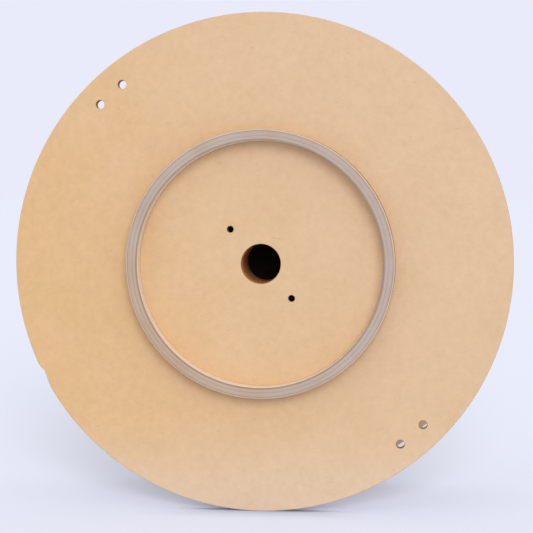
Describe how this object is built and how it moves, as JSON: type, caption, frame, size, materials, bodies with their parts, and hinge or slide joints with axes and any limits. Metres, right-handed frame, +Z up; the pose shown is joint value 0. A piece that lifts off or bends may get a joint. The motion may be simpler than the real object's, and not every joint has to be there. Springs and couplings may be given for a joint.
{
  "type": "cable reel",
  "caption": "Kraft board cable reel: flat round flanges on a wound paper barrel whose ends stand proud, with recessed hub discs, a blind arbor bore at each end, drive pin holes and cable tie holes.",
  "frame": {"origin": "middle of the reel on its axis, which is the centre of its box", "axes": "+Y along the axis from the front flange to the back flange, +Z up, +X to the right seen from the front; the reel stands on the rims of its flanges"},
  "size_m": [0.4, 0.154, 0.4],
  "materials": {
    "flange_board": "matt kraft-faced board",
    "hub_board": "matt kraft-faced board",
    "wound_paper": "matt grey-brown wound paper, sawn at the ends",
    "sleeve_paper": "matt brown wound paper",
    "stop_board": "matt dark fibre board"
  },
  "bodies": {
    "root": {"front_flange": "flange_board", "back_flange": "flange_board", "barrel_tube": "wound_paper", "front_hub": "hub_board", "back_hub": "hub_board", "front_sleeve": "sleeve_paper", "back_sleeve": "sleeve_paper", "bore_stop": "stop_board"}
  },
  "joints": []
}
